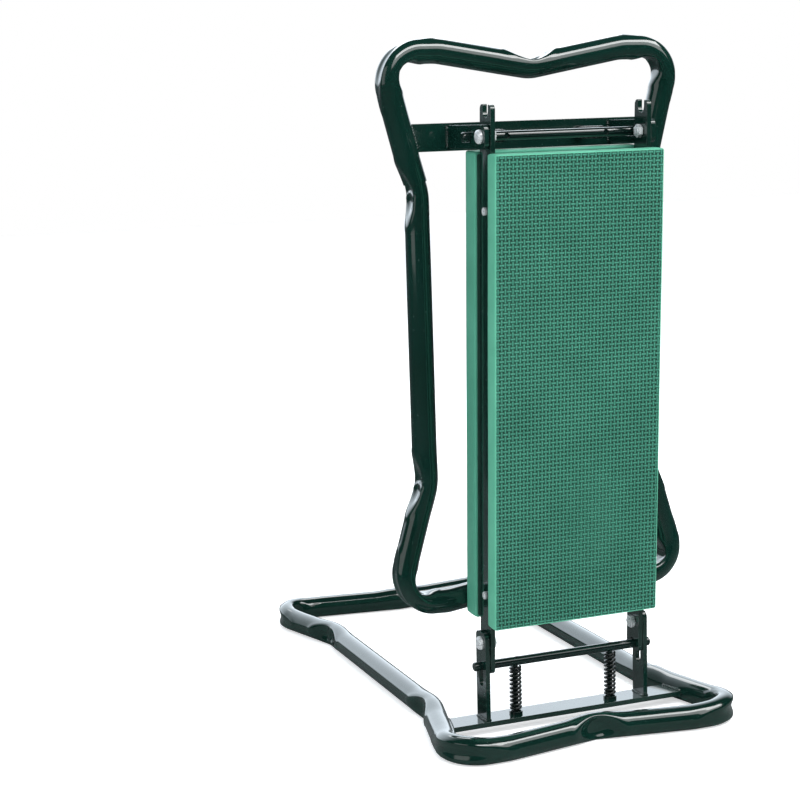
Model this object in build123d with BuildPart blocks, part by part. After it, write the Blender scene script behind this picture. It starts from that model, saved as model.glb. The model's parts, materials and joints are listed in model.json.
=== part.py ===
from build123d import *
import os
from math import cos, radians, sin

os.makedirs("parts", exist_ok=True)

# Garden kneeler seat, shown standing on one leg frame: the lower leg frame lies unfolded on the
# floor and locked, the seat stands up from it and leans forward by the slack of its lock, and the
# upper leg frame is folded behind the seat.
# Millimetres, +Z up, origin on the floor under the middle of the whole object.

# --- Driving dimensions -------------------------------------------------------------------------

# Leg frames: each one is a closed loop of round tube. In a leg's own frame x runs along the pivot
# axis, y runs towards the long end, and z is square to the loop, with the pivot axis at 0.
tube_radius = 11.0
tube_wall = 1.2
loop_drop = 70.5              # from the pivot axis to the plane of the loop
short_end = -73.5             # y of the short end bar
long_end = 409.0              # y of the long end bar
short_notch = 15.0            # how far the middle of the short end bar dips into the loop
long_notch = 12.0
shoulder_x = 88.0             # where an end bar begins to dip
short_corner_x = 140.5
long_corner_x = 141.5
run_x = 109.5                 # half the spacing of the parallel runs
run_start, run_end = 46.0, 302.0
corner_bend, run_bend, notch_bend, shoulder_bend = 26.0, 60.0, 34.0, 60.0

# Seat
pivot_spacing = 440.0
seat_lean = 2.4               # degrees forward from upright, the slack of the lower lock
folded_lean = 1.0             # degrees from plumb, by which the folded leg's long end hangs in
rail_width, rail_thickness = 22.0, 4.0
rail_inner_x = 71.0
rail_overrun = 26.5           # rail past each pivot, to the tips of its fork
fork_radius = 5.2             # leaves the lock bar the slack that lets the seat lean
fork_outer_round, fork_inner_round = 4.4, 1.2
pad_length, pad_width = 408.0, 158.0
pad_start = 19.0              # bottom of the pads above the lower pivot
sitting_thickness, kneeling_thickness = 15.5, 20.0
pad_corner, pad_edge = 2.0, 1.2
panel_thickness, panel_inset = 1.5, 2.0
crossbar_heights = (43.0, 378.0)
crossbar_height, crossbar_wall, crossbar_end = 20.0, 1.5, 3.0

# Lock and hinge
bracket_thickness, bracket_width, bracket_top = 4.0, 20.0, 10.0
hinge_gap = 1.0               # between rail and bracket, filled by a nylon washer
plate_top, plate_thickness, plate_width = -69.0, 4.5, 24.0
lock_z, lock_radius, lock_half_length = -21.0, 4.0, 87.0
lock_travel = 14.0
slot_radius = 4.3             # of the bracket's slot, a sliding fit for the lock bar
pin_x, pin_radius, pin_top = 47.0, 2.4, -18.5
spring_radius, spring_wire, spring_turns = 4.4, 1.15, 10
spring_play = 0.2             # left free at each end of a spring
collar_radius, collar_height = 6.0, 2.5
bolt_radius, bolt_head_radius, bolt_head_height = 3.0, 6.0, 3.2
bolt_play = 0.05              # radial, of a pivot bolt in its rail
bolt_overrun = 1.0            # of a pivot bolt past its nut
nut_flats, nut_height, nut_gap = 10.0, 3.5, 0.4
washer_radius, washer_thickness = 7.5, 0.8
side_bolt_radius, side_bolt_head, side_bolt_length = 2.0, 3.3, 10.0
side_bolt_head_height = 1.8
rivet_radius, rivet_head_radius, rivet_x = 2.0, 3.2, 50.0
rivet_tail_radius, rivet_tail_height = 3.4, 1.4
countersink_angle = 90.0
bracket_corner, bolt_dome, lock_chamfer, pin_play = 5.0, 2.6, 0.8, 0.1

# --- Derived places -----------------------------------------------------------------------------

lower_pivot_z = loop_drop + tube_radius
pivot_y = -(short_end + long_end) / 2
bracket_x = rail_inner_x + rail_thickness + hinge_gap + bracket_thickness / 2
bracket_outer_x = bracket_x + bracket_thickness / 2
rail_x = rail_inner_x + rail_thickness / 2
bolt_tip_x = rail_inner_x - nut_gap - nut_height - bolt_overrun
washer_x = rail_inner_x + rail_thickness + hinge_gap / 2
spring_foot = plate_top + collar_height + spring_wire + spring_play
spring_height = lock_z - lock_radius - spring_wire - spring_play - spring_foot
forward, inward = radians(seat_lean), radians(folded_lean)

# In the seat's own frame y points to the kneeling pad, and z runs up from the lower pivot.
seat_frame = Plane(
    origin=(0, pivot_y, lower_pivot_z), x_dir=(1, 0, 0), z_dir=(0, -sin(forward), cos(forward))
)
leg_frames = {
    "lower": Plane(origin=(0, pivot_y, lower_pivot_z)),
    "upper": Plane(
        origin=seat_frame.from_local_coords((0, 0, pivot_spacing)),
        x_dir=(-1, 0, 0),
        z_dir=(0, -cos(inward), sin(inward)),
    ),
}


def across(frame, x):
    """Plane square to the pivot axis at x, with the frame's y and z as its own x and y."""
    return Plane(origin=frame.from_local_coords((x, 0, 0)), x_dir=frame.y_dir, z_dir=frame.x_dir)


def seat_side(facing):
    """Outer plane of the rails on the sitting (-1) or kneeling (1) side, facing outward, y up."""
    return Plane(
        origin=seat_frame.from_local_coords((0, facing * rail_width / 2, 0)),
        x_dir=(-facing, 0, 0),
        z_dir=seat_frame.y_dir * facing,
    )


def local_x(frame, side):
    """+1 or -1: which way along the frame's own x the object's left or right side lies."""
    return (1 if side == "right" else -1) * round(frame.x_dir.X)


def save(part, name):
    part.label = name
    export_step(part, f"parts/{name}.step")


# One half of the loop's outline, from the short end's notch round to the long end's notch.
half_loop = [
    ((0, short_end + short_notch), notch_bend),
    ((shoulder_x, short_end), shoulder_bend),
    ((short_corner_x, short_end), corner_bend),
    ((run_x, run_start), run_bend),
    ((run_x, run_end), run_bend),
    ((long_corner_x, long_end), corner_bend),
    ((shoulder_x, long_end), shoulder_bend),
    ((0, long_end - long_notch), notch_bend),
]
other_half = [((-x, y), bend) for (x, y), bend in half_loop[-2:0:-1]]
loop_points = [point for point, _ in half_loop + other_half]
loop_bends = [bend for _, bend in half_loop + other_half]

# --- Leg frames, their locks and their pivots ---------------------------------------------------

for leg, frame in leg_frames.items():
    # Tube loop: hollow, with the same outside shape kept solid to cope the crossmember's ends.
    with BuildLine(frame.offset(-loop_drop)) as loop_path:
        FilletPolyline(*loop_points, radius=loop_bends, close=True)
    loop_wire = loop_path.wires()[0]
    tube_section = Plane(origin=loop_wire @ 0, z_dir=loop_wire % 0)
    with BuildPart() as loop_envelope:
        with BuildSketch(tube_section):
            Circle(tube_radius)
        sweep(path=loop_wire)
    with BuildPart() as leg_loop:
        with BuildSketch(tube_section):
            Circle(tube_radius)
            Circle(tube_radius - tube_wall, mode=Mode.SUBTRACT)
        sweep(path=loop_wire)
    save(leg_loop.part, f"{leg}_leg_loop")

    # Crossmember: flat bar between the tubes, drilled for the guide pins.
    with BuildPart() as crossmember:
        with BuildSketch(frame.offset(plate_top)):
            Rectangle(2 * short_corner_x, plate_width)
            with Locations((-pin_x, 0), (pin_x, 0)):
                Circle(pin_radius, mode=Mode.SUBTRACT)
        extrude(amount=-plate_thickness)
        add(loop_envelope.part, mode=Mode.SUBTRACT)
    between_tubes = crossmember.solids().sort_by(SortBy.VOLUME)[-1]
    save(Part() + between_tubes, f"{leg}_crossmember")

    # Brackets: upright flat bars with a pivot hole and a slot for the lock bar.
    for side in ("left", "right"):
        with BuildPart() as bracket:
            with BuildSketch(across(frame, local_x(frame, side) * bracket_x)) as bracket_face:
                with Locations((0, (bracket_top + plate_top) / 2)):
                    Rectangle(bracket_width, bracket_top - plate_top)
                fillet(bracket_face.vertices().group_by(Axis.Y)[-1], bracket_corner)
                Circle(bolt_radius, mode=Mode.SUBTRACT)
                with Locations((0, lock_z - lock_travel / 2)):
                    SlotCenterToCenter(lock_travel, 2 * slot_radius, rotation=90, mode=Mode.SUBTRACT)
            extrude(amount=bracket_thickness / 2, both=True)
        save(bracket.part, f"{leg}_bracket_{side}")

    # Lock bar: a rod through both brackets and forks, cross-drilled for the guide pins.
    with BuildPart() as lock_bar:
        with BuildSketch(across(frame, 0)):
            with Locations((0, lock_z)):
                Circle(lock_radius)
        extrude(amount=lock_half_length, both=True)
        chamfer(lock_bar.edges().filter_by(GeomType.CIRCLE), lock_chamfer)
        with BuildSketch(frame.offset(lock_z)):
            with Locations((-pin_x, 0), (pin_x, 0)):
                Circle(pin_radius + pin_play)
        extrude(amount=lock_radius, both=True, mode=Mode.SUBTRACT)
    save(lock_bar.part, f"{leg}_lock_bar")

    # Guide pins: fixed in the crossmember, with the lock bar sliding on them.
    with BuildPart() as guide_pins:
        with BuildSketch(frame.offset(plate_top - plate_thickness)):
            with Locations((-pin_x, 0), (pin_x, 0)):
                Circle(pin_radius)
        extrude(amount=pin_top - plate_top + plate_thickness)
    save(guide_pins.part, f"{leg}_guide_pins")

    # Spring collars: rings at the foot of the guide pins.
    with BuildPart() as spring_collars:
        with BuildSketch(frame.offset(plate_top)):
            with Locations((-pin_x, 0), (pin_x, 0)):
                Circle(collar_radius)
                Circle(pin_radius, mode=Mode.SUBTRACT)
        extrude(amount=collar_height)
    save(spring_collars.part, f"{leg}_spring_collars")

    # Springs: open coils between the collars and the lock bar.
    with BuildPart() as springs:
        for x in (-pin_x, pin_x):
            coil_foot = frame.from_local_coords((x, 0, spring_foot))
            with BuildLine() as coil:
                Helix(
                    spring_height / spring_turns, spring_height, spring_radius,
                    center=coil_foot, direction=frame.z_dir,
                )
            with BuildSketch(Plane(origin=coil.line @ 0, z_dir=coil.line % 0)):
                Circle(spring_wire)
            sweep(path=coil.line)
    save(springs.part, f"{leg}_springs")

    # Pivot bolts: domed heads outside the brackets, shanks through the rails.
    with BuildPart() as pivot_bolts:
        for end in (-1, 1):
            with BuildSketch(across(frame, end * bracket_outer_x)):
                Circle(bolt_head_radius)
            extrude(amount=end * bolt_head_height)
            with BuildSketch(across(frame, end * bolt_tip_x)):
                Circle(bolt_radius)
            extrude(amount=end * (bracket_outer_x - bolt_tip_x))
        crowns = pivot_bolts.faces().sort_by(Axis(frame.origin, frame.x_dir))
        fillet(crowns[0].edges() + crowns[-1].edges(), bolt_dome)
    save(pivot_bolts.part, f"{leg}_pivot_bolts")

    # Pivot nuts, on the inner side of the rails.
    with BuildPart() as pivot_nuts:
        for end in (-1, 1):
            with BuildSketch(across(frame, end * (rail_inner_x - nut_gap))):
                RegularPolygon(nut_flats / 2, 6, major_radius=False)
                Circle(bolt_radius, mode=Mode.SUBTRACT)
            extrude(amount=-end * nut_height)
    save(pivot_nuts.part, f"{leg}_pivot_nuts")

    # Washers that keep the brackets off the rails.
    with BuildPart() as pivot_washers:
        for end in (-1, 1):
            with BuildSketch(across(frame, end * washer_x)):
                Circle(washer_radius)
                Circle(bolt_radius, mode=Mode.SUBTRACT)
            extrude(amount=washer_thickness / 2, both=True)
    save(pivot_washers.part, f"{leg}_pivot_washers")

# --- Seat ---------------------------------------------------------------------------------------

# Rails: flat bars on edge, forked at both tips for the lock bars.
for side, end in (("left", -1), ("right", 1)):
    with BuildPart() as rail:
        with BuildSketch(across(seat_frame, end * rail_x)) as rail_face:
            with Locations((0, pivot_spacing / 2)):
                Rectangle(rail_width, pivot_spacing + 2 * rail_overrun)
            for pivot, outward in ((0, -1), (pivot_spacing, 1)):
                with Locations((0, pivot)):
                    Circle(bolt_radius + bolt_play, mode=Mode.SUBTRACT)
                with Locations((0, pivot - outward * lock_z)):
                    Circle(fork_radius, mode=Mode.SUBTRACT)
                with Locations((0, pivot + outward * (rail_overrun - lock_z) / 2)):
                    Rectangle(2 * fork_radius, rail_overrun + lock_z, mode=Mode.SUBTRACT)
            for tip in (0, -1):
                prongs = rail_face.vertices().group_by(Axis.Y)[tip].sort_by(Axis.X)
                fillet([prongs[0], prongs[-1]], fork_outer_round)
                prongs = rail_face.vertices().group_by(Axis.Y)[tip].sort_by(Axis.X)
                fillet(prongs[1:3], fork_inner_round)
            with Locations(*[(0, height) for height in crossbar_heights]):
                Circle(side_bolt_radius, mode=Mode.SUBTRACT)
        extrude(amount=rail_thickness / 2, both=True)
    save(rail.part, f"seat_rail_{side}")

# Crossbars: box tubes with tapped end plates, drilled for the panel rivets.
for name, height in zip(("lower", "upper"), crossbar_heights):
    with BuildPart() as crossbar:
        with BuildSketch(across(seat_frame, 0)):
            with Locations((0, height)):
                Rectangle(rail_width, crossbar_height)
        extrude(amount=rail_inner_x, both=True)
        with BuildSketch(across(seat_frame, 0)):
            with Locations((0, height)):
                Rectangle(rail_width - 2 * crossbar_wall, crossbar_height - 2 * crossbar_wall)
        extrude(amount=rail_inner_x - crossbar_end, both=True, mode=Mode.SUBTRACT)
        with BuildSketch(across(seat_frame, 0)):
            with Locations((0, height)):
                Circle(side_bolt_radius)
        extrude(amount=rail_inner_x, both=True, mode=Mode.SUBTRACT)
        with BuildSketch(seat_side(1)):
            with Locations((-rivet_x, height), (rivet_x, height)):
                Circle(rivet_radius)
        extrude(amount=-rail_width, mode=Mode.SUBTRACT)
    save(crossbar.part, f"seat_crossbar_{name}")

# Side bolts: one through each rail into each end of each crossbar.
with BuildPart() as side_bolts:
    for end in (-1, 1):
        for height in crossbar_heights:
            with BuildSketch(across(seat_frame, end * (rail_inner_x + rail_thickness))):
                with Locations((0, height)):
                    Circle(side_bolt_head)
            extrude(amount=end * side_bolt_head_height)
            with BuildSketch(across(seat_frame, end * (rail_inner_x + rail_thickness))):
                with Locations((0, height)):
                    Circle(side_bolt_radius)
            extrude(amount=-end * side_bolt_length)
save(side_bolts.part, "seat_side_bolts")

# Panels and pads, one pair on each side of the rails. Each tuple gives the way its pair faces
# along the seat's own y, the pair's name and the thickness of its pad.
pad_middle = (0, pad_start + pad_length / 2)
rivet_places = [(x, height) for x in (-rivet_x, rivet_x) for height in crossbar_heights]
for facing, name, pad_thickness in (
    (-1, "sitting", sitting_thickness),
    (1, "kneeling", kneeling_thickness),
):
    panel_face = seat_side(facing)
    pad_face = panel_face.offset(panel_thickness)

    with BuildPart() as panel:
        with BuildSketch(panel_face):
            with Locations(pad_middle):
                RectangleRounded(
                    pad_width - 2 * panel_inset, pad_length - 2 * panel_inset, pad_corner
                )
        extrude(amount=panel_thickness)
        with Locations(*[
            Plane(origin=pad_face.from_local_coords(place), z_dir=pad_face.z_dir)
            for place in rivet_places
        ]):
            CounterSinkHole(rivet_radius, rivet_head_radius, panel_thickness, countersink_angle)
    save(panel.part, f"{name}_panel")

    with BuildPart() as pad:
        with BuildSketch(pad_face):
            with Locations(pad_middle):
                RectangleRounded(pad_width, pad_length, pad_corner)
        extrude(amount=pad_thickness)
        outer_face = pad.faces().sort_by(Axis(pad_face.origin, pad_face.z_dir))[-1]
        fillet(outer_face.edges(), pad_edge)
    save(pad.part, f"{name}_pad")

# Rivets: countersunk in the panels, closed inside the crossbars.
rivet_length = panel_thickness + crossbar_wall
countersink = rivet_head_radius - rivet_radius
with BuildPart() as panel_rivets:
    for facing in (-1, 1):
        for place in rivet_places:
            rivet_head = seat_side(facing).offset(panel_thickness).from_local_coords(place)
            half_section = Plane(
                origin=rivet_head, x_dir=(1, 0, 0), z_dir=seat_frame.z_dir * facing
            )
            with BuildSketch(half_section):
                with BuildLine():
                    Polyline(
                        (0, 0),
                        (rivet_head_radius, 0),
                        (rivet_radius, -countersink),
                        (rivet_radius, -rivet_length),
                        (rivet_tail_radius, -rivet_length),
                        (rivet_tail_radius, -rivet_length - rivet_tail_height),
                        (0, -rivet_length - rivet_tail_height),
                        close=True,
                    )
                make_face()
            revolve(axis=Axis(rivet_head, seat_frame.y_dir))
save(panel_rivets.part, "panel_rivets")
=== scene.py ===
import json
import math

import bmesh
import bpy
import numpy as np
from mathutils import Matrix, Vector

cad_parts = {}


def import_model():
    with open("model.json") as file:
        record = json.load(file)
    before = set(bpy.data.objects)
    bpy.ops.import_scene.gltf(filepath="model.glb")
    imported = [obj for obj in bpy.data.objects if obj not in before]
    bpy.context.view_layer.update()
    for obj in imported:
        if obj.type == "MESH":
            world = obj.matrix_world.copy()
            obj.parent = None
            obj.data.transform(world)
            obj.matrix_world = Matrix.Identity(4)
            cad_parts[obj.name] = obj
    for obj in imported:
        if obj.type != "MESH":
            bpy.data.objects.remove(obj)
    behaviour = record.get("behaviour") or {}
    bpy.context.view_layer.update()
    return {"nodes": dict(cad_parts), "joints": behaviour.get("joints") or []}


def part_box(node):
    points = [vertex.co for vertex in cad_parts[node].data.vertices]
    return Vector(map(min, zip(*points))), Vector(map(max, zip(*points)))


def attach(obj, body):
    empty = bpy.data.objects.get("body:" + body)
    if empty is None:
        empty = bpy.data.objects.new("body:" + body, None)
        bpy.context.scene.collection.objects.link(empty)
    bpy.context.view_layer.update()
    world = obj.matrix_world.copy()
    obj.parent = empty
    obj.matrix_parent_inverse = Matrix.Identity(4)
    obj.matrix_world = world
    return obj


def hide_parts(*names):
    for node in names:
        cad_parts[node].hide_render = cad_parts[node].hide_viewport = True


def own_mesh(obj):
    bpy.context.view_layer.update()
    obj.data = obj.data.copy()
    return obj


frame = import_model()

# Looks of the garden kneeler seat. Metres, +Z up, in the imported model's frame. The seat stands on
# the lower leg frame, and the upper leg frame is folded behind it.

MM = 0.001

# --- Sizes --------------------------------------------------------------------------------------

# Leg loops, in a leg's own frame: x along the pivot axis, y towards the long end, z square to the
# loop with the pivot axis at 0.
TUBE_RADIUS = 11.0 * MM
LOOP_DROP = 70.5 * MM               # from the pivot axis to the middle of the tube
RING_STEP = 1.6 * MM                # along the tube, from one ring of points to the next
RING_SIDES = 48
PATH_STEP = 0.25 * MM               # along the bends of the centreline
TANGENT_REACH = 1.0 * MM            # to each side of a ring, to find the tube's direction there
CORNER_BEND, RUN_BEND, NOTCH_BEND, SHOULDER_BEND = 26.0, 60.0, 34.0, 60.0
HALF_LOOP = [                       # x, y and bend radius in mm, and what kind of bend it is
    (0.0, -58.5, NOTCH_BEND, "short_notch"),
    (88.0, -73.5, SHOULDER_BEND, "shoulder"),
    (140.5, -73.5, CORNER_BEND, "corner"),
    (109.5, 46.0, RUN_BEND, "run"),
    (109.5, 302.0, RUN_BEND, "run"),
    (141.5, 409.0, CORNER_BEND, "corner"),
    (88.0, 409.0, SHOULDER_BEND, "shoulder"),
    (0.0, 397.0, NOTCH_BEND, "long_notch"),
]

# Dents where the press crushed the tube: the side of the tube that gives way (0 is outside the
# loop, pi is inside), depth, half length along the tube, half width round it in degrees, how much
# of the dent is a flat floor, and the depth of the fold across its middle, which is a ridge if
# it is below 0.
DENTS = {
    "short_notch": [(0.0, 8.0 * MM, 27 * MM, 68, 0.25, 0.0)],
    "long_notch": [(0.0, 6.0 * MM, 26 * MM, 70, 0.25, 0.0)],
    "run": [(0.0, 6.4 * MM, 30 * MM, 62, 0.15, -2.6 * MM)],
    "corner": [
        (math.pi, 5.0 * MM, 27 * MM, 70, 0.10, 1.5 * MM),
        (0.0, 4.2 * MM, 38 * MM, 44, 0.10, 0.0),
    ],
    "shoulder": [],
}
DENT_RIM = 0.45 * MM                # height of the lip round a dent
RIM_PLACE, RIM_WIDTH = 1.06, 0.09   # of the lip, in dent radii
SWELL = 0.12                        # of a dent's depth, gained in the height of the crushed tube
FOLD_WIDTH = 2.2 * MM
FOLD_SWEEP = 9.0 * MM               # how far the fold bends along the tube by the dent's edge

SEAM_Y = 14.0 * MM                  # where one end of the tube is pushed into the other
SEAM_STEP = 1.0 * MM
SEAM_RUNOUT = 30.0 * MM             # over which the inner end grows back to the full radius

# Springs
SPRING_RADIUS = 4.4 * MM
SPRING_WIRE = 1.15 * MM
SPRING_TURNS = 9
SPRING_PLAY = 0.2 * MM              # at each end
COIL_STEPS = 26                     # in each turn

# Weld beads
BEAD_RADIUS = 1.7 * MM
BEAD_RIPPLE = 2.2 * MM
BEAD_STEP = 0.35 * MM
BEAD_TAPER = 1.6 * MM               # at each end

# Foam pads
WEAVE_COLUMNS, WEAVE_ROWS = 45, 110
WEAVE_DEPTH = 0.75 * MM
WEAVE_MARGIN = 1.0 * MM             # plain strip along the edges of the face
PAD_CORNER = 2.0 * MM
PAD_EDGE = 1.2 * MM
BAR_HALF_WIDTH = 0.28               # of a weave bar, in cells
BAR_SHOULDER, BAR_TIP = 0.45, 0.95  # where a bar dips under its neighbour, from its own middle
FACE_SWELL = 0.25 * MM              # unevenness of the face
SIDE_HOLLOW = 0.25 * MM             # how far the sides pull in next to the face and the back
SIDE_WAVE = 0.12 * MM

# Foam colours, each from its darker to its lighter tint
# Painted highlight: the tint of the weave bars' crowns, lighter than the foam's own colour.
WEAVE_CROWN_HIGHLIGHT = ((0.031, 0.178, 0.118), (0.039, 0.206, 0.138))
WEAVE_FLANK = ((0.011, 0.084, 0.054), (0.015, 0.100, 0.065))
# Painted shade: the tint of the hollows between the weave bars.
WEAVE_SUNK_SHADE = ((0.003, 0.034, 0.021), (0.005, 0.043, 0.027))
SITTING_SIDES = ((0.070, 0.302, 0.196), (0.086, 0.340, 0.224))
# Painted shade: the kneeling pad's sides are a darker copy of the sitting pad's sides, for the
# shade they stand in.
KNEELING_SIDES_SHADED = ((0.052, 0.240, 0.158), (0.064, 0.272, 0.182))

# Paint colours
TUBE_DARK, TUBE_LIGHT = (0.0018, 0.0130, 0.0092), (0.0028, 0.0180, 0.0135)
LOCK_DARK, LOCK_LIGHT = (0.0020, 0.0075, 0.0065), (0.0035, 0.013, 0.011)

# Studio
CAMERA_PLACE = (-0.7134, -1.6008, 0.5640)
CAMERA_HEADING, CAMERA_DOWN, CAMERA_ROLL = 21.47, 9.60, -1.53     # degrees
CAMERA_LENS = 83.40
DIM_ROOM, BRIGHT_WALL = 0.02, 2.5   # what gloss sees, in front of the object and behind it
WALL_FOOT = 0.10                    # of the wall's brightness, at its foot
SIDE_LIGHT = (0.80, 0.40)           # what matt surfaces get from the left and from the right
COOL_TINT = (0.88, 0.98, 1.07)      # of the light from all round
FLOOR_REACH = 6.0
FLOOR_GLOW = 0.56                   # given off by the floor itself, except to gloss

# --- Places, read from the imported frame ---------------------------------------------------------

joints = {joint["name"]: joint for joint in frame["joints"]}


def leg_matrix(fold, slide):
    """A leg's own frame, from the hinge it turns on and the slide of its lock."""
    x_axis = -Vector(joints[fold]["axis"])
    z_axis = -Vector(joints[slide]["axis"])
    matrix = Matrix((x_axis, z_axis.cross(x_axis), z_axis)).transposed().to_4x4()
    matrix.translation = Vector(joints[fold]["pos_m"])
    return matrix


LEGS = {
    "lower": leg_matrix("seat_fold", "lower_lock_slide"),
    "upper": leg_matrix("upper_leg_fold", "upper_lock_slide"),
}


def seat_matrix():
    """The seat's own frame: z up from the lower hinge to the upper one, y to the kneeling pad."""
    foot, head = (Vector(joints[name]["pos_m"]) for name in ("seat_fold", "upper_leg_fold"))
    x_axis, z_axis = -Vector(joints["seat_fold"]["axis"]), (head - foot).normalized()
    matrix = Matrix((x_axis, z_axis.cross(x_axis), z_axis)).transposed().to_4x4()
    matrix.translation = foot
    return matrix


SEAT = seat_matrix()


def seat_box(node):
    """A CAD node's lowest and highest corners in the seat's own frame."""
    inverse = SEAT.inverted()
    corners = np.array([inverse @ v.co for v in frame["nodes"][node].data.vertices])
    return Vector(corners.min(axis=0)), Vector(corners.max(axis=0))


def node_span(node, direction, origin):
    """How far a CAD node reaches along a direction from a point: (nearest, farthest)."""
    offsets = [(v.co - origin).dot(direction) for v in frame["nodes"][node].data.vertices]
    return min(offsets), max(offsets)


# --- Meshes -------------------------------------------------------------------------------------


def smoothstep(low, high, value):
    t = np.clip((value - low) / (high - low), 0.0, 1.0)
    return t * t * (3.0 - 2.0 * t)


def new_piece(name, points, faces, material):
    mesh = bpy.data.meshes.new(name)
    mesh.from_pydata([tuple(p) for p in points], [], faces)
    mesh.validate()
    mesh.polygons.foreach_set("use_smooth", [True] * len(mesh.polygons))
    mesh.materials.append(material)
    piece = bpy.data.objects.new(name, mesh)
    bpy.context.scene.collection.objects.link(piece)
    return piece


def tube_faces(rings, sides, closed):
    """Quads between successive rings of points. An open tube gets a cap at each end."""
    faces = []
    for ring in range(rings if closed else rings - 1):
        a = ring * sides
        b = (ring + 1) % rings * sides
        faces += [(a + i, a + (i + 1) % sides, b + (i + 1) % sides, b + i) for i in range(sides)]
    if not closed:
        last = (rings - 1) * sides
        faces.append(tuple(range(sides - 1, -1, -1)))
        faces.append(tuple(range(last, last + sides)))
    return faces


def placed(points, matrix):
    """Points given in a leg's own frame, in the model's frame."""
    m = np.array(matrix)
    return points @ m[:3, :3].T + m[:3, 3]


# --- Leg loops ----------------------------------------------------------------------------------


def loop_corners():
    """The whole closed outline, one tuple for each bend."""
    mirrored = [(-x, y, bend, kind) for x, y, bend, kind in HALF_LOOP[-2:0:-1]]
    return HALF_LOOP + mirrored


def loop_path():
    """The loop's centreline: points, distance along it, and the middle of each bend."""
    corners = loop_corners()
    spots = [np.array((x, y)) * MM for x, y, _, _ in corners]
    points, middles = [], []
    for i, (_, _, bend, kind) in enumerate(corners):
        before, here, after = spots[i - 1], spots[i], spots[(i + 1) % len(spots)]
        into = (here - before) / np.linalg.norm(here - before)
        out = (after - here) / np.linalg.norm(after - here)
        turn = math.acos(float(np.clip(into @ out, -1, 1)))
        side = np.sign(into[0] * out[1] - into[1] * out[0])
        radius = bend * MM
        start = here - into * radius * math.tan(turn / 2)
        centre = start + side * radius * np.array((-into[1], into[0]))
        count = max(int(turn * radius / PATH_STEP), 2)
        spoke = start - centre
        for angle in side * np.linspace(0, turn, count + 1):
            c, s = math.cos(angle), math.sin(angle)
            points.append(centre + np.array((c * spoke[0] - s * spoke[1],
                                             s * spoke[0] + c * spoke[1])))
        middles.append((len(points) - 1 - count // 2, kind))
    points = np.array(points)
    gaps = np.linalg.norm(np.roll(points, -1, axis=0) - points, axis=1)
    along = np.concatenate(([0.0], np.cumsum(gaps)))
    return points, along, [(along[index], kind) for index, kind in middles]


def tube_skin(leg, material):
    """The leg's tube loop, with the dents that bending left in it and the seam of its joint."""
    points, along, bends = loop_path()
    total = along[-1]
    closed = np.vstack((points, points[:1]))

    right_run = (i for i, point in enumerate(points) if point[0] > 100 * MM)
    seam = along[min(right_run, key=lambda i: abs(points[i][1] - SEAM_Y))]
    stations = np.unique(np.concatenate((
        np.linspace(0, total, int(total / RING_STEP), endpoint=False),
        seam + np.array((-0.8, -0.4, -0.1, 0.1, 0.4, 0.8)) * MM,
    )))
    x = np.interp(stations, along, closed[:, 0])
    y = np.interp(stations, along, closed[:, 1])

    def rise(values):
        ahead = np.interp((stations + TANGENT_REACH) % total, along, values)
        return ahead - np.interp((stations - TANGENT_REACH) % total, along, values)

    dx, dy = rise(closed[:, 0]), rise(closed[:, 1])
    length = np.hypot(dx, dy)
    outward = np.stack((dy / length, -dx / length), axis=1)      # the outline runs anticlockwise

    angle = np.linspace(0, 2 * math.pi, RING_SIDES, endpoint=False)[None, :]
    across = TUBE_RADIUS * np.cos(angle) * np.ones((len(stations), 1))
    up = TUBE_RADIUS * np.sin(angle) * np.ones((len(stations), 1))

    swell = np.zeros((len(stations), 1))
    for middle, kind in bends:
        gap = (stations - middle + total / 2) % total - total / 2
        for side, depth, half_length, half_width, floor, fold in DENTS[kind]:
            turn = np.abs((angle - side + math.pi) % (2 * math.pi) - math.pi)
            share = turn / math.radians(half_width)
            radial = np.hypot(gap[:, None] / half_length, share)
            push = depth * (1 - smoothstep(floor, 1.0, radial))
            push -= DENT_RIM * np.exp(-((radial - RIM_PLACE) / RIM_WIDTH) ** 2)
            crease = np.abs(gap[:, None] - FOLD_SWEEP * share ** 2) / FOLD_WIDTH
            push += fold * np.exp(-crease) * (1 - smoothstep(0.3, 1.0, share))
            across -= push * math.cos(side)
            away = np.abs(gap[:, None]) / half_length
            swell += SWELL * depth / TUBE_RADIUS * (1 - smoothstep(0.15, 1.2, away))

    up += swell * (up + TUBE_RADIUS)         # upward only, so that the loop still lies flat
    past = stations - seam
    step = SEAM_STEP * np.where(past > 0, np.exp(-np.abs(past) / SEAM_RUNOUT), 0.0)
    shrink = (1 - step / TUBE_RADIUS)[:, None]
    across *= shrink
    up *= shrink

    rings = np.empty((len(stations), RING_SIDES, 3))
    rings[:, :, 0] = x[:, None] + outward[:, :1] * across
    rings[:, :, 1] = y[:, None] + outward[:, 1:] * across
    rings[:, :, 2] = up - LOOP_DROP
    faces = tube_faces(len(stations), RING_SIDES, closed=True)
    piece = new_piece(f"{leg}_tube", placed(rings.reshape(-1, 3), LEGS[leg]), faces, material)
    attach(piece, f"{leg}_leg")
    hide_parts(f"{leg}_leg_loop")


# --- Springs ------------------------------------------------------------------------------------


def coil_points(x, foot, height):
    """One spring's centreline: closed turns at both ends, open turns between them."""
    turns = SPRING_TURNS + 2
    t = np.linspace(0, turns, turns * COIL_STEPS + 1)
    dead = 2 * SPRING_WIRE
    pitch = (height - 2 * dead) / (turns - 2)
    rise = np.where(t < 1, t * dead, dead + (t - 1) * pitch)
    rise = np.where(t > turns - 1, height - (turns - t) * dead, rise)
    return np.stack((
        x + SPRING_RADIUS * np.cos(2 * math.pi * t),
        SPRING_RADIUS * np.sin(2 * math.pi * t),
        foot + rise,
    ), axis=1)


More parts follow.
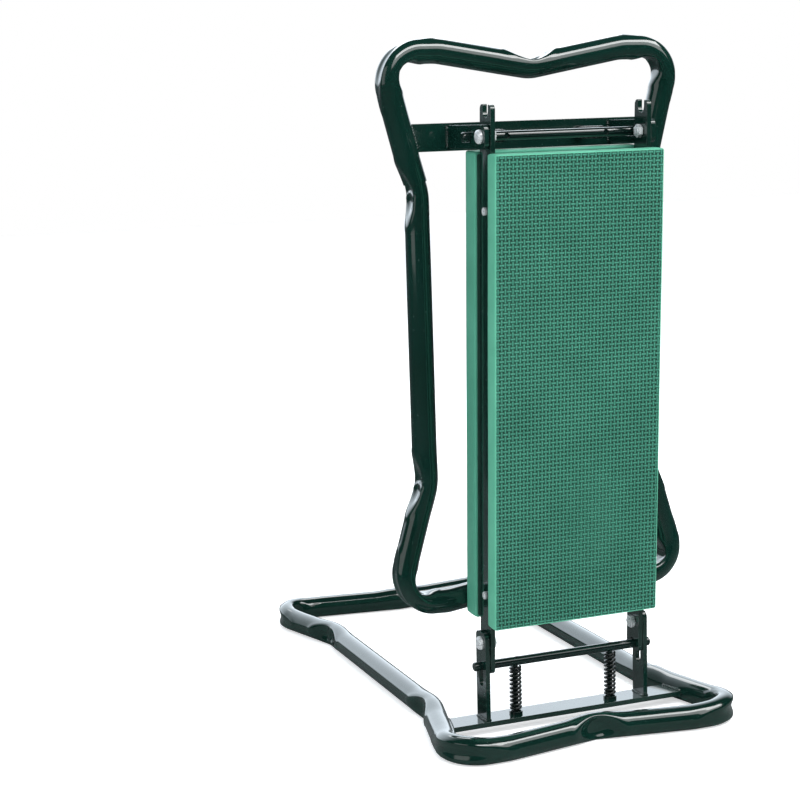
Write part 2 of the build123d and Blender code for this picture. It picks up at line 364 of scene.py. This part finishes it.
def swept(path, radius, sides):
    """Rings of points round a path, and its quads. radius is one number or one for each point."""
    radius = np.broadcast_to(radius, len(path))
    ahead = np.gradient(path, axis=0)
    ahead /= np.linalg.norm(ahead, axis=1)[:, None]
    guide = np.array((0.0, 0.0, 1.0))
    if abs(ahead[0] @ guide) > 0.9:
        guide = np.array((1.0, 0.0, 0.0))
    side = np.cross(ahead, guide)
    side /= np.linalg.norm(side, axis=1)[:, None]
    top = np.cross(side, ahead)
    angle = np.linspace(0, 2 * math.pi, sides, endpoint=False)
    rings = path[:, None, :] + radius[:, None, None] * (
        np.cos(angle)[None, :, None] * side[:, None, :]
        + np.sin(angle)[None, :, None] * top[:, None, :]
    )
    return rings.reshape(-1, 3), tube_faces(len(path), sides, closed=False)


def joined(parts):
    """Several (points, faces) as one."""
    points, faces, first = [], [], 0
    for part_points, part_faces in parts:
        points.append(part_points)
        faces += [tuple(i + first for i in face) for face in part_faces]
        first += len(part_points)
    return np.vstack(points), faces


def pin_radius():
    """Radius of a guide pin, from the lower leg's, which stand square to the frame."""
    low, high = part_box("lower_guide_pins")
    return (high.y - low.y) / 2


def springs(leg, material):
    """A leg's two coils, from their collars to the lock bar."""
    matrix = LEGS[leg]
    up = matrix.to_3x3().col[2]
    origin = matrix.translation
    foot = node_span(f"{leg}_spring_collars", up, origin)[1] + SPRING_WIRE + SPRING_PLAY
    top = node_span(f"{leg}_lock_bar", up, origin)[0] - SPRING_WIRE - SPRING_PLAY
    pin_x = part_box(f"{leg}_guide_pins")[1].x - pin_radius()
    coils = [swept(coil_points(x, foot, top - foot), SPRING_WIRE, 10) for x in (-pin_x, pin_x)]
    points, faces = joined(coils)
    piece = new_piece(f"{leg}_coils", placed(points, matrix), faces, material)
    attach(piece, f"{leg}_leg")
    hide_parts(f"{leg}_springs")
    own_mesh(piece)


# --- Weld beads ---------------------------------------------------------------------------------


def bead(start, end, seed):
    """A rippled bead of weld from start to end, in a leg's own frame."""
    start, end = np.array(start), np.array(end)
    length = np.linalg.norm(end - start)
    count = max(int(length / BEAD_STEP), 4)
    t = np.linspace(0, 1, count)
    chance = np.random.default_rng(seed)
    wobble = np.convolve(chance.normal(size=count + 8), np.ones(9) / 9, mode="valid")
    path = start + (end - start) * t[:, None]
    path[:, 2] += 0.5 * MM * wobble
    path[:, 1] += 0.4 * MM * np.roll(wobble, 5)
    ripple = np.abs(np.sin(math.pi * t * length / BEAD_RIPPLE + wobble))
    taper = np.minimum(1, np.minimum(t, 1 - t) * length / BEAD_TAPER) ** 0.5
    radius = BEAD_RADIUS * (0.72 + 0.34 * ripple) * np.maximum(taper, 0.15)
    return swept(path, radius, 12)


def weld_beads(leg, material):
    """Beads along both ends of the crossmember and beside the feet of the brackets."""
    matrix = LEGS[leg]
    up = matrix.to_3x3().col[2]
    along = matrix.to_3x3().col[1]
    bottom, top = node_span(f"{leg}_crossmember", up, matrix.translation)
    half_width = node_span(f"{leg}_crossmember", along, matrix.translation)[1]
    points, along_loop, _ = loop_path()
    closed = np.vstack((points, points[:1]))
    stations = np.linspace(0, along_loop[-1], int(along_loop[-1] / (0.5 * MM)))
    spots = zip(np.interp(stations, along_loop, closed[:, 0]),
                np.interp(stations, along_loop, closed[:, 1]))
    near = sorted((p for p in spots if abs(p[1]) < half_width and p[0] > 0), key=lambda p: p[1])
    first, last = near[0], near[-1]
    parts, seed = [], 1
    for side in (-1, 1):
        for height in (top, bottom):
            rise = height + LOOP_DROP
            inset = math.sqrt(TUBE_RADIUS ** 2 - rise ** 2)
            parts.append(bead(
                (side * (first[0] - inset), first[1], height),
                (side * (last[0] - inset), last[1], height),
                seed,
            ))
            seed += 1
    low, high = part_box(f"{leg}_bracket_right")
    foot_reach = node_span(f"{leg}_bracket_right", along, matrix.translation)[1]
    for side in (-1, 1):
        for face in (low.x, high.x):
            x = side * face
            parts.append(bead((x, -foot_reach, top), (x, foot_reach, top), seed))
            seed += 1
    points, faces = joined(parts)
    piece = new_piece(f"{leg}_welds", placed(points, matrix), faces, material)
    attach(piece, f"{leg}_leg")


# --- Foam pads ----------------------------------------------------------------------------------


def weave_height(u, v):
    """Height of the embossed basket weave, 0 to 1, at u and v counted in cells."""
    even = (np.floor(u) + np.floor(v)) % 2 < 1
    fu = u - np.floor(u) - 0.5
    fv = v - np.floor(v) - 0.5
    a = np.abs(np.where(even, fu, fv))
    b = np.abs(np.where(even, fv, fu))
    bar = np.sqrt(np.clip(1 - (b / BAR_HALF_WIDTH) ** 2, 0, 1))
    bar *= 1 - smoothstep(BAR_SHOULDER, BAR_TIP, a)
    tip = np.sqrt(np.clip(1 - (a / BAR_HALF_WIDTH) ** 2, 0, 1))
    tip *= 1 - smoothstep(BAR_SHOULDER, BAR_TIP, 1 - b)
    return np.maximum(bar, tip)


def cell_lines(count):
    """Grid lines across a number of weave cells, closest where a bar's sides are."""
    inner = np.array((0.0, 0.5 - 0.8 * BAR_HALF_WIDTH, 0.5, 0.5 + 0.8 * BAR_HALF_WIDTH))
    lines = (np.arange(count)[:, None] + inner[None, :]).ravel()
    return np.append(lines, float(count))


def grid_rim(columns, rows):
    """The point numbers round the outside of a grid, anticlockwise."""
    rim = [i * rows for i in range(columns)]
    rim += [(columns - 1) * rows + j for j in range(1, rows)]
    rim += [i * rows + rows - 1 for i in range(columns - 2, -1, -1)]
    rim += [j for j in range(rows - 2, 0, -1)]
    return rim


def side_profile(thickness):
    """A pad's side, from the face to the back: how far out from the face's grid, and how deep."""
    profile = [
        (PAD_EDGE * math.sin(t), PAD_EDGE * (1 - math.cos(t)))
        for t in np.linspace(0, math.pi / 2, 5)[1:]
    ]
    profile += [(PAD_EDGE, thickness * share) for share in (0.3, 0.5, 0.7, 0.9)]
    profile += [(PAD_EDGE - 0.3 * MM, thickness - 0.1 * MM), (PAD_EDGE - 1.0 * MM, thickness)]
    return profile


def foam_pad(name, node, outward, material):
    """One foam slab: woven emboss on its outer face, rounded edges and smooth sides."""
    low, high = seat_box(node)
    middle = (low + high) / 2
    half = (high - low) / 2
    face_y = high.y if outward > 0 else low.y
    back_y = low.y if outward > 0 else high.y

    u, v = cell_lines(WEAVE_COLUMNS), cell_lines(WEAVE_ROWS)
    inner_x, inner_z = half.x - PAD_EDGE, half.z - PAD_EDGE
    grid_x = (u / WEAVE_COLUMNS * 2 - 1) * inner_x
    grid_z = (v / WEAVE_ROWS * 2 - 1) * inner_z
    gx, gz = np.meshgrid(grid_x, grid_z, indexing="ij")
    gu, gv = np.meshgrid(u, v, indexing="ij")

    margin = np.minimum(inner_x - np.abs(gx), inner_z - np.abs(gz))
    emboss = WEAVE_DEPTH * (1 - weave_height(gu, gv)) * smoothstep(0.0, WEAVE_MARGIN, margin)
    swell = FACE_SWELL * (np.sin(gx * 31 + 1.1) * np.sin(gz * 17 + 0.4) - 1)
    depth = emboss - swell * smoothstep(0.0, 12 * MM, margin)

    corner = PAD_CORNER - PAD_EDGE
    sx, sz = rounded_corner(gx, gz, inner_x, inner_z, corner)
    face = np.stack((
        middle.x + sx, face_y - outward * depth, middle.z + sz,
    ), axis=-1).reshape(-1, 3)
    columns, rows = len(grid_x), len(grid_z)
    faces = [
        (i * rows + j, (i + 1) * rows + j, (i + 1) * rows + j + 1, i * rows + j + 1)
        for i in range(columns - 1) for j in range(rows - 1)
    ]

    rim = grid_rim(columns, rows)
    edge = face[rim]
    normals = rim_normals(edge[:, (0, 2)])
    thickness = abs(face_y - back_y)
    all_points = [face]
    ring_start = len(face)
    previous = rim
    count = np.arange(len(rim))
    wave = SIDE_WAVE * np.sin(count * 0.021) * np.sin(count * 0.008)
    for spread, drop in side_profile(thickness):
        belly = math.sin(math.pi * min(drop / thickness, 1.0)) - 1.0
        reach = spread + SIDE_HOLLOW * belly + wave
        ring = np.empty((len(rim), 3))
        ring[:, 0] = edge[:, 0] + normals[:, 0] * reach
        ring[:, 1] = face_y - outward * drop
        ring[:, 2] = edge[:, 2] + normals[:, 1] * reach
        all_points.append(ring)
        current = list(range(ring_start, ring_start + len(rim)))
        faces += [
            (previous[k], current[k], current[(k + 1) % len(rim)], previous[(k + 1) % len(rim)])
            for k in range(len(rim))
        ]
        previous = current
        ring_start += len(rim)
    faces.append(tuple(previous))
    piece = new_piece(name, np.vstack(all_points), faces, material)
    clean = bmesh.new()
    clean.from_mesh(piece.data)
    bmesh.ops.recalc_face_normals(clean, faces=clean.faces)
    clean.to_mesh(piece.data)
    clean.free()
    piece.matrix_world = SEAT
    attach(piece, "seat")
    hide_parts(node)


def rounded_corner(x, z, half_x, half_z, radius):
    """Moves the corner squares of a rectangle onto quarter discs."""
    u = np.clip((np.abs(x) - (half_x - radius)) / radius, 0, 1)
    v = np.clip((np.abs(z) - (half_z - radius)) / radius, 0, 1)
    new_x = np.where(u > 0, half_x - radius + radius * u * np.sqrt(1 - v * v / 2), np.abs(x))
    new_z = np.where(v > 0, half_z - radius + radius * v * np.sqrt(1 - u * u / 2), np.abs(z))
    return np.sign(x) * new_x, np.sign(z) * new_z


def rim_normals(points):
    """Outward directions round a closed outline that runs anticlockwise."""
    ahead = np.roll(points, -1, axis=0) - np.roll(points, 1, axis=0)
    normals = np.stack((ahead[:, 1], -ahead[:, 0]), axis=1)
    return normals / np.linalg.norm(normals, axis=1)[:, None]


# --- Materials ----------------------------------------------------------------------------------


class Nodes:
    """A small helper that builds one material's node tree."""

    def __init__(self, name):
        self.material = bpy.data.materials.new(name)
        self.material.use_nodes = True
        self.tree = self.material.node_tree
        self.shader = self.tree.nodes["Principled BSDF"]
        self.place = self.add("ShaderNodeTexCoord").outputs["Object"]

    def add(self, kind, **values):
        node = self.tree.nodes.new(kind)
        for key, value in values.items():
            setattr(node, key, value)
        return node

    def link(self, source, target):
        self.tree.links.new(source, target)

    def feed(self, node, index, value):
        if isinstance(value, (int, float)):
            node.inputs[index].default_value = value
        else:
            self.link(value, node.inputs[index])

    def math(self, operation, *values):
        node = self.add("ShaderNodeMath", operation=operation)
        for index, value in enumerate(values):
            self.feed(node, index, value)
        return node.outputs[0]

    def noise(self, scale, detail=3.0, roughness=0.5, stretch=None):
        node = self.add("ShaderNodeTexNoise")
        node.inputs["Scale"].default_value = scale
        node.inputs["Detail"].default_value = detail
        node.inputs["Roughness"].default_value = roughness
        source = self.place
        if stretch:
            mapping = self.add("ShaderNodeMapping")
            mapping.inputs["Scale"].default_value = stretch
            self.link(source, mapping.inputs["Vector"])
            source = mapping.outputs["Vector"]
        self.link(source, node.inputs["Vector"])
        return node.outputs["Fac"]

    def ramp(self, value, stops):
        node = self.add("ShaderNodeValToRGB")
        elements = node.color_ramp.elements
        while len(elements) < len(stops):
            elements.new(0.5)
        for element, (position, colour) in zip(elements, stops):
            element.position = position
            element.color = (*colour, 1.0)
        self.link(value, node.inputs["Fac"])
        return node.outputs["Color"]

    def spread(self, value, low, high, to_low, to_high, smooth=False):
        node = self.add("ShaderNodeMapRange")
        if smooth:
            node.interpolation_type = "SMOOTHSTEP"
        for index, number in enumerate((low, high, to_low, to_high), start=1):
            node.inputs[index].default_value = number
        self.link(value, node.inputs[0])
        return node.outputs[0]

    def mix(self, factor, first, second):
        node = self.add("ShaderNodeMix", data_type="RGBA")
        self.feed(node, 0, factor)
        for socket, value in ((node.inputs[6], first), (node.inputs[7], second)):
            if isinstance(value, tuple):
                socket.default_value = (*value, 1.0)
            else:
                self.link(value, socket)
        return node.outputs[2]

    def bump(self, height, strength, distance, normal=None):
        node = self.add("ShaderNodeBump")
        node.inputs["Strength"].default_value = strength
        node.inputs["Distance"].default_value = distance
        self.link(height, node.inputs["Height"])
        if normal is not None:
            self.link(normal, node.inputs["Normal"])
        return node.outputs["Normal"]

    def set(self, **values):
        for name, value in values.items():
            socket = self.shader.inputs[name.replace("_", " ")]
            if isinstance(value, (int, float)):
                socket.default_value = value
            else:
                self.link(value, socket)

    def edges(self, width):
        """1 on worn outer edges, 0 elsewhere, and the rounded normal."""
        bevel = self.add("ShaderNodeBevel", samples=6)
        bevel.inputs["Radius"].default_value = width
        dot = self.add("ShaderNodeVectorMath", operation="DOT_PRODUCT")
        self.link(bevel.outputs["Normal"], dot.inputs[0])
        self.link(self.add("ShaderNodeNewGeometry").outputs["Normal"], dot.inputs[1])
        return self.spread(dot.outputs["Value"], 0.98, 0.80, 0.0, 1.0), bevel.outputs["Normal"]


def paint(name, dark, light, roughness=0.11, rounding=0.0):
    """Glossy enamel: faint mottling, orange peel, hazy patches, and wear on sharp edges."""
    n = Nodes(name)
    mottle = n.noise(14.0, detail=5.0, roughness=0.6)
    colour = n.ramp(mottle, [(0.32, dark), (0.68, light)])
    haze = n.noise(55.0, detail=4.0, roughness=0.65, stretch=(1.0, 1.0, 0.5))
    gloss = n.spread(haze, 0.35, 0.75, roughness * 0.75, roughness * 1.5)
    scuff = n.spread(n.noise(420.0, detail=2.0), 0.70, 0.76, 0.0, 1.0)
    normal = None
    if rounding:
        worn, normal = n.edges(rounding)
        patches = n.spread(n.noise(160.0, detail=4.0), 0.42, 0.62, 0.0, 1.0)
        patchy = n.math("MULTIPLY", worn, patches)
        colour = n.mix(n.math("MULTIPLY", patchy, 0.55), colour, (0.10, 0.13, 0.12))
    colour = n.mix(n.math("MULTIPLY", scuff, 0.35), colour, (0.05, 0.085, 0.075))
    gloss = n.math("ADD", gloss, n.math("MULTIPLY", scuff, 0.18))
    peel = n.bump(n.noise(330.0, detail=2.0), 0.10, 0.25 * MM, normal)
    ripple = n.bump(n.noise(60.0, detail=1.0), 0.10, 0.8 * MM, peel)
    n.set(Base_Color=colour, Roughness=gloss, Normal=ripple)
    n.set(Coat_Weight=0.5, Coat_Roughness=0.04, IOR=1.52)
    return n.material


def zinc(name):
    """Bright zinc plate: brushed haze, spangle and a little dulling."""
    n = Nodes(name)
    spangle = n.noise(260.0, detail=4.0, roughness=0.7)
    colour = n.ramp(spangle, [(0.30, (0.48, 0.50, 0.51)), (0.70, (0.80, 0.82, 0.82))])
    dull = n.spread(n.noise(700.0, detail=3.0), 0.3, 0.8, 0.22, 0.42)
    scratches = n.noise(900.0, detail=2.0, stretch=(1.0, 1.0, 0.12))
    _, rounded = n.edges(0.35 * MM)
    n.set(Base_Color=colour, Roughness=dull, Metallic=0.45)
    n.set(Normal=n.bump(scratches, 0.12, 0.1 * MM, rounded))
    return n.material


def oiled_wire(name):
    """Black oiled spring wire with a patchy sheen."""
    n = Nodes(name)
    patches = n.noise(240.0, detail=4.0, roughness=0.6)
    n.set(
        Base_Color=n.ramp(patches, [(0.35, (0.002, 0.004, 0.004)), (0.70, (0.007, 0.010, 0.009))]),
        Roughness=n.spread(patches, 0.3, 0.7, 0.16, 0.34),
        Normal=n.bump(n.noise(1500.0, detail=2.0), 0.15, 0.08 * MM),
        Specular_IOR_Level=0.4,
    )
    return n.material


def moulded(name, dark, light, roughness):
    """Moulded plastic or board with a fine grain."""
    n = Nodes(name)
    cloud = n.noise(40.0, detail=4.0)
    sheen = n.noise(120.0, detail=3.0)
    n.set(
        Base_Color=n.ramp(cloud, [(0.35, dark), (0.65, light)]),
        Roughness=n.spread(sheen, 0.3, 0.7, roughness * 0.85, roughness * 1.15),
        Normal=n.bump(n.noise(1300.0, detail=3.0), 0.25, 0.12 * MM),
    )
    return n.material


def weave_nodes(n, u, v):
    """The same weave as weave_height, as nodes."""
    cell = n.math("ADD", n.math("FLOOR", u), n.math("FLOOR", v))
    odd = n.math("FLOORED_MODULO", cell, 2.0)
    fu = n.math("ABSOLUTE", n.math("SUBTRACT", n.math("FRACT", u), 0.5))
    fv = n.math("ABSOLUTE", n.math("SUBTRACT", n.math("FRACT", v), 0.5))

    def pick(first, second):
        kept = n.math("MULTIPLY", first, n.math("SUBTRACT", 1.0, odd))
        return n.math("MULTIPLY_ADD", second, odd, kept)

    def crown(offset):
        ratio = n.math("DIVIDE", offset, BAR_HALF_WIDTH)
        room = n.math("MAXIMUM", n.math("SUBTRACT", 1.0, n.math("MULTIPLY", ratio, ratio)), 0.0)
        return n.math("SQRT", room)

    def dip(offset):
        return n.spread(offset, BAR_SHOULDER, BAR_TIP, 1.0, 0.0, smooth=True)

    along, side = pick(fu, fv), pick(fv, fu)
    bar = n.math("MULTIPLY", crown(side), dip(along))
    tip = n.math("MULTIPLY", crown(along), dip(n.math("SUBTRACT", 1.0, side)))
    return n.math("MAXIMUM", bar, tip)


def foam(name, node, outward, sides):
    """Closed-cell foam: woven emboss on the outer face, coloured with a painted highlight on the
    bar crowns and painted shade in the hollows, and lighter smooth cut sides.
    """
    low, high = seat_box(node)
    n = Nodes(name)
    split = n.add("ShaderNodeSeparateXYZ")
    n.link(n.place, split.inputs[0])
    x, y, z = split.outputs
    u_scale = WEAVE_COLUMNS / (high.x - low.x - 2 * PAD_EDGE)
    v_scale = WEAVE_ROWS / (high.z - low.z - 2 * PAD_EDGE)
    u = n.math("MULTIPLY", n.math("SUBTRACT", x, low.x + PAD_EDGE), u_scale)
    v = n.math("MULTIPLY", n.math("SUBTRACT", z, low.z + PAD_EDGE), v_scale)
    height = weave_nodes(n, u, v)

    face_y = high.y if outward > 0 else low.y
    depth = n.math("MULTIPLY", n.math("SUBTRACT", y, face_y), -outward)
    on_face = n.spread(depth, 1.0 * MM, 1.3 * MM, 1.0, 0.0)
    inside_x = n.math("LESS_THAN", n.math("ABSOLUTE", x), high.x - PAD_EDGE * 1.2)
    half_z, mid_z = (high.z - low.z) / 2, (high.z + low.z) / 2
    inside_z = n.math("LESS_THAN", n.math("ABSOLUTE", n.math("SUBTRACT", z, mid_z)),
                      half_z - PAD_EDGE * 1.2)
    woven = n.math("MULTIPLY", on_face, n.math("MULTIPLY", inside_x, inside_z))

    tint = n.noise(24.0, detail=4.0, roughness=0.6)
    crown, flank, sunk_shade, side = (
        n.ramp(tint, [(0.35, darker), (0.65, lighter)])
        for darker, lighter in (WEAVE_CROWN_HIGHLIGHT, WEAVE_FLANK, WEAVE_SUNK_SHADE, sides)
    )
    speckle = n.noise(950.0, detail=3.0, roughness=0.7)
    height = n.math("ADD", height, n.spread(speckle, 0.3, 0.7, -0.07, 0.07))
    # Painted light and shade: the face colour follows the weave's height, from painted shade in the
    # hollows, through the foam's own tint on the flanks, to a painted highlight on the crowns.
    low_part = n.mix(n.spread(height, 0.05, 0.55, 0.0, 1.0), sunk_shade, flank)
    face_colour = n.mix(n.spread(height, 0.62, 1.0, 0.0, 1.0), low_part, crown)
    n.set(
        Base_Color=n.mix(woven, side, face_colour),
        Roughness=n.spread(speckle, 0.25, 0.75, 0.52, 0.70),
        Specular_IOR_Level=0.25,
    )
    grain = n.bump(speckle, 0.35, 0.12 * MM)
    relief = n.math("MULTIPLY", height, woven)
    n.set(Normal=n.bump(relief, 0.9, 0.7 * MM, grain))
    return n.material


# --- Studio -------------------------------------------------------------------------------------


def camera():
    """Front left, a little above, looking slightly down at the seat."""
    heading, down = math.radians(CAMERA_HEADING), math.radians(CAMERA_DOWN)
    roll = math.radians(CAMERA_ROLL)
    ahead = Vector((math.sin(heading) * math.cos(down), math.cos(heading) * math.cos(down),
                    -math.sin(down)))
    right = Vector((math.cos(heading), -math.sin(heading), 0.0))
    up = right.cross(ahead)
    turned_right = right * math.cos(roll) + up * math.sin(roll)
    turned_up = up * math.cos(roll) - right * math.sin(roll)
    data = bpy.data.cameras.new("camera")
    data.lens = CAMERA_LENS
    data.clip_end = 50
    eye = bpy.data.objects.new("camera", data)
    eye.matrix_world = Matrix((turned_right, turned_up, -ahead)).transposed().to_4x4()
    eye.location = CAMERA_PLACE
    bpy.context.scene.collection.objects.link(eye)
    bpy.context.scene.camera = eye


def softbox(name, place, aim, width, height, power):
    """A rectangular lamp that gloss can see and the camera can't."""
    data = bpy.data.lights.new(name, "AREA")
    data.shape = "RECTANGLE"
    data.size, data.size_y = width, height
    data.energy = power
    light = bpy.data.objects.new(name, data)
    light.location = place
    light.rotation_euler = (Vector(aim) - Vector(place)).to_track_quat("-Z", "Y").to_euler()
    light.visible_camera = False
    bpy.context.scene.collection.objects.link(light)


def world():
    """White to the camera, and soft light from all round, more from the left, to matt surfaces.
    Gloss sees a dim room with a bright wall behind the object."""
    made = bpy.data.worlds.new("studio")
    made.use_nodes = True
    tree = made.node_tree
    background = tree.nodes["Background"]
    ray = tree.nodes.new("ShaderNodeLightPath")
    direction = tree.nodes.new("ShaderNodeTexCoord")
    split = tree.nodes.new("ShaderNodeSeparateXYZ")
    tree.links.new(direction.outputs["Generated"], split.inputs[0])

    def spread(source, *numbers):
        node = tree.nodes.new("ShaderNodeMapRange")
        node.interpolation_type = "SMOOTHSTEP"
        for index, number in enumerate(numbers, start=1):
            node.inputs[index].default_value = number
        tree.links.new(source, node.inputs[0])
        return node.outputs[0]

    def choose(kind, otherwise, value):
        node = tree.nodes.new("ShaderNodeMix")
        tree.links.new(ray.outputs[kind], node.inputs[0])
        for socket, source in ((node.inputs[2], otherwise), (node.inputs[3], value)):
            if isinstance(source, float):
                socket.default_value = source
            else:
                tree.links.new(source, socket)
        return node.outputs[0]

    wall = spread(split.outputs["Y"], 0.35, 0.85, DIM_ROOM, BRIGHT_WALL)
    lit = tree.nodes.new("ShaderNodeMath")
    lit.operation = "MULTIPLY"
    tree.links.new(wall, lit.inputs[0])
    tree.links.new(spread(split.outputs["Z"], 0.02, 0.10, WALL_FOOT, 1.0), lit.inputs[1])
    matt = spread(split.outputs["X"], -1.0, 1.0, *SIDE_LIGHT)
    seen = choose("Is Camera Ray", choose("Is Glossy Ray", matt, lit.outputs[0]), 1.0)
    tree.links.new(seen, background.inputs["Strength"])
    cool = tree.nodes.new("ShaderNodeMix")
    cool.data_type = "RGBA"
    cool.inputs[6].default_value = (*COOL_TINT, 1.0)
    cool.inputs[7].default_value = (1.0, 1.0, 1.0, 1.0)
    tree.links.new(ray.outputs["Is Camera Ray"], cool.inputs[0])
    tree.links.new(cool.outputs[2], background.inputs["Color"])
    bpy.context.scene.world = made


def studio():
    """Soft lamps, the surroundings, and a pale floor that gloss sees as a dark one."""
    scene = bpy.context.scene
    scene.view_settings.view_transform = "Standard"
    world()
    softbox("strip", (0.45, -0.95, 1.60), (0, -0.1, 0.4), 2.2, 0.40, 27)
    softbox("glow", (0.45, -1.25, 1.25), (0, -0.1, 0.4), 2.2, 0.65, 13)
    softbox("window", (-2.2, -1.0, 1.0), (0, 0, 0.3), 1.6, 1.6, 8)
    softbox("back", (0.5, 2.1, 2.3), (0, 0, 0.3), 1.8, 0.8, 18)
    mesh = bpy.data.meshes.new("floor")
    signs = ((-1, -1), (1, -1), (1, 1), (-1, 1))
    corners = [(x * FLOOR_REACH, y * FLOOR_REACH, 0) for x, y in signs]
    mesh.from_pydata(corners, [], [(0, 1, 2, 3)])
    floor = bpy.data.objects.new("floor", mesh)
    scene.collection.objects.link(floor)
    n = Nodes("floor_paint")
    pale = n.ramp(n.noise(2.0), [(0.3, (0.92, 0.92, 0.92)), (0.7, (0.94, 0.94, 0.94))])
    distance = n.add("ShaderNodeVectorMath", operation="LENGTH")
    n.link(n.place, distance.inputs[0])
    beside = n.spread(distance.outputs["Value"], 0.25, 0.7, 0.15, 0.0, smooth=True)
    mirrored = n.mix(beside, (0.03, 0.035, 0.035), (0.8, 0.8, 0.8))
    glossy = n.add("ShaderNodeLightPath").outputs["Is Glossy Ray"]
    n.set(Base_Color=n.mix(glossy, pale, mirrored), Roughness=0.8)
    n.set(Emission_Strength=n.math("MULTIPLY", n.math("SUBTRACT", 1.0, glossy), FLOOR_GLOW))
    n.shader.inputs["Emission Color"].default_value = (1.0, 1.0, 1.0, 1.0)
    mesh.materials.append(n.material)


# --- Making -------------------------------------------------------------------------------------

camera()
studio()

tube_paint = paint("tube_paint", TUBE_DARK, TUBE_LIGHT)
bar_paint = paint("bar_paint", TUBE_DARK, TUBE_LIGHT, roughness=0.15, rounding=0.7 * MM)
lock_paint = paint("lock_paint", LOCK_DARK, LOCK_LIGHT, roughness=0.14, rounding=0.3 * MM)
zinc_plate = zinc("zinc_plate")
wire = oiled_wire("spring_wire")
nylon = moulded("black_nylon", (0.016, 0.016, 0.016), (0.03, 0.03, 0.03), 0.45)
board = moulded("backing_board", (0.006, 0.032, 0.022), (0.010, 0.045, 0.032), 0.5)

finish_of = {
    "crossmember": bar_paint, "bracket_left": bar_paint, "bracket_right": bar_paint,
    "guide_pins": lock_paint, "spring_collars": lock_paint, "lock_bar": lock_paint,
    "pivot_bolts": zinc_plate, "pivot_nuts": zinc_plate, "pivot_washers": nylon,
    "leg_loop": tube_paint, "springs": wire,
    "rail_left": bar_paint, "rail_right": bar_paint, "crossbar_lower": bar_paint,
    "crossbar_upper": bar_paint, "side_bolts": zinc_plate, "rivets": zinc_plate,
    "panel": board, "pad": board,
}
for name, node in frame["nodes"].items():
    ending = max((end for end in finish_of if name.endswith(end)), key=len)
    node.data.materials.clear()
    node.data.materials.append(finish_of[ending])

for leg in LEGS:
    tube_skin(leg, tube_paint)
    springs(leg, wire)
    weld_beads(leg, bar_paint)
for use, outward, sides in (("sitting", -1, SITTING_SIDES), ("kneeling", 1, KNEELING_SIDES_SHADED)):
    cover = foam(f"{use}_foam", f"{use}_pad", outward, sides)
    foam_pad(f"{use}_foam", f"{use}_pad", outward, cover)
